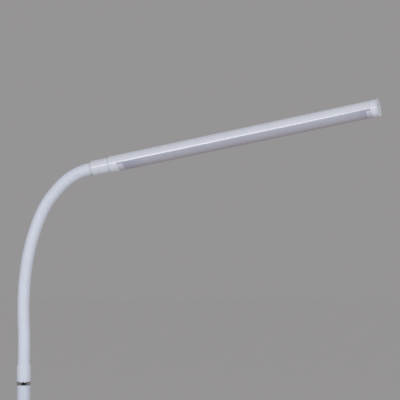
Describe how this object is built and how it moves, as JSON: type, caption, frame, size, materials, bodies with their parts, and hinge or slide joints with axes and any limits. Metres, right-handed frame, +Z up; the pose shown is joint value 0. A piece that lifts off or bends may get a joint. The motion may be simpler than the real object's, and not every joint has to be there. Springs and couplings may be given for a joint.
{
  "type": "floor lamp",
  "caption": "White floor lamp with a round weighted base, slim post, bendable sleeved neck and a long turning tube head with a frosted lower cover.",
  "frame": {"origin": "on the floor under the base, on the post's axis", "axes": "+Z up along the post, +X the way the head reaches out"},
  "size_m": [0.6386, 0.24, 1.4307],
  "materials": {
    "powder_coat": "satin white powder coat",
    "white_gloss_plastic": "gloss",
    "housing_paint": "white gloss paint over an aluminium extrusion",
    "frosted_cover": "frosted translucent",
    "sleeve_rubber": "smooth silicone",
    "core_steel": "wound steel strip",
    "polished_ring": "polished",
    "zinc_steel": "zinc plated",
    "cast_weight": "as cast",
    "pad_foam": "fine foam rubber",
    "black_plastic": "moulded",
    "circuit_board": "lacquered",
    "light_board_white": "white solder mask",
    "light_chip": "phosphor",
    "wire_skin": "soft vinyl"
  },
  "bodies": {
    "stand": {"base_pad": "pad_foam", "base_plate": "zinc_steel", "plate_screws": "zinc_steel", "base_weight": "cast_weight", "base_cover": "powder_coat", "base_collar": "white_gloss_plastic", "post_nut": "zinc_steel", "post_washer": "zinc_steel", "button_spring": "zinc_steel", "switch_body": "black_plastic", "driver_board": "circuit_board", "driver_parts": "black_plastic", "inlet_body": "black_plastic", "inlet_pin": "zinc_steel", "inlet_nut": "zinc_steel", "inlet_leads": "wire_skin", "feed_wires": "wire_skin", "post_lower": "powder_coat", "post_middle": "powder_coat", "post_upper": "powder_coat", "post_sockets": "zinc_steel", "post_studs": "zinc_steel", "neck_ring": "polished_ring", "neck_foot": "zinc_steel", "neck_sleeve_1": "sleeve_rubber", "neck_core_1": "core_steel"},
    "neck_2": {"neck_sleeve_2": "sleeve_rubber", "neck_core_2": "core_steel"},
    "neck_3": {"neck_sleeve_3": "sleeve_rubber", "neck_core_3": "core_steel"},
    "neck_4": {"neck_sleeve_4": "sleeve_rubber", "neck_core_4": "core_steel"},
    "neck_5": {"neck_sleeve_5": "sleeve_rubber", "neck_core_5": "core_steel"},
    "neck_6": {"neck_sleeve_6": "sleeve_rubber", "neck_core_6": "core_steel"},
    "neck_7": {"neck_sleeve_7": "sleeve_rubber", "neck_core_7": "core_steel"},
    "neck_8": {"neck_sleeve_8": "sleeve_rubber", "neck_core_8": "core_steel"},
    "neck_9": {"neck_sleeve_9": "sleeve_rubber", "neck_core_9": "core_steel"},
    "neck_10": {"neck_sleeve_10": "sleeve_rubber", "neck_core_10": "core_steel"},
    "neck_11": {"neck_sleeve_11": "sleeve_rubber", "neck_core_11": "core_steel", "neck_tip": "zinc_steel", "coupler": "white_gloss_plastic", "coupler_screw": "powder_coat", "stop_washer": "zinc_steel", "swivel_nut": "zinc_steel"},
    "head": {"near_cap": "white_gloss_plastic", "housing": "housing_paint", "diffuser": "frosted_cover", "light_board": "light_board_white", "light_chips": "light_chip", "head_leads": "wire_skin", "far_cap": "white_gloss_plastic"},
    "button": {"switch_button": "white_gloss_plastic", "switch_plunger": "black_plastic"}
  },
  "joints": [
    {"name": "lower_bend", "type": "hinge", "parent": "stand", "child": "neck_2", "pos_m": [0.00015, 0, 1.08371], "axis": [0, 1, 0], "range_deg": [-16, 16]},
    {"name": "lower_bend_2", "type": "hinge", "parent": "neck_2", "child": "neck_3", "pos_m": [0.00009, 0, 1.11604], "axis": [0, 1, 0], "range_deg": [-16, 16]},
    {"name": "lower_bend_3", "type": "hinge", "parent": "neck_3", "child": "neck_4", "pos_m": [-0.00094, 0, 1.14835], "axis": [0, 1, 0], "range_deg": [-16, 16]},
    {"name": "upper_bend_4", "type": "hinge", "parent": "neck_4", "child": "neck_5", "pos_m": [0.00009, 0, 1.18066], "axis": [0, 1, 0], "range_deg": [-14, 12]},
    {"name": "upper_bend_3", "type": "hinge", "parent": "neck_5", "child": "neck_6", "pos_m": [0.00395, 0, 1.21275], "axis": [0, 1, 0], "range_deg": [-14, 12]},
    {"name": "upper_bend_2", "type": "hinge", "parent": "neck_6", "child": "neck_7", "pos_m": [0.01117, 0, 1.24424], "axis": [0, 1, 0], "range_deg": [-14, 12]},
    {"name": "upper_bend", "type": "hinge", "parent": "neck_7", "child": "neck_8", "pos_m": [0.02217, 0, 1.27463], "axis": [0, 1, 0], "range_deg": [-14, 12]},
    {"name": "side_bend", "type": "hinge", "parent": "neck_8", "child": "neck_9", "pos_m": [0.03794, 0, 1.30276], "axis": [0.803, 0, -0.5959], "range_deg": [-16, 16]},
    {"name": "side_bend_2", "type": "hinge", "parent": "neck_9", "child": "neck_10", "pos_m": [0.05998, 0, 1.32633], "axis": [0.6516, 0, -0.7586], "range_deg": [-16, 16]},
    {"name": "side_bend_3", "type": "hinge", "parent": "neck_10", "child": "neck_11", "pos_m": [0.0876, 0, 1.34277], "axis": [0.3398, 0, -0.9405], "range_deg": [-16, 16]},
    {"name": "head_turn", "type": "hinge", "parent": "neck_11", "child": "head", "pos_m": [0.13422, 0, 1.35253], "axis": [0.9851, 0, 0.1719], "range_deg": [-155, 155]},
    {"name": "button_press", "type": "slide", "parent": "stand", "child": "button", "axis": [0, 0, -1], "range_m": [0, 0.002], "stiffness_N_per_m": 1500, "springref_m": -0.002, "deforming": ["button_spring"]}
  ],
  "couplings": [
    {"joint": "lower_bend_2", "follows": "lower_bend", "ratio": 1},
    {"joint": "lower_bend_3", "follows": "lower_bend", "ratio": 1},
    {"joint": "upper_bend_2", "follows": "upper_bend", "ratio": 1},
    {"joint": "upper_bend_3", "follows": "upper_bend", "ratio": 1},
    {"joint": "upper_bend_4", "follows": "upper_bend", "ratio": 1},
    {"joint": "side_bend_2", "follows": "side_bend", "ratio": 1},
    {"joint": "side_bend_3", "follows": "side_bend", "ratio": 1}
  ]
}
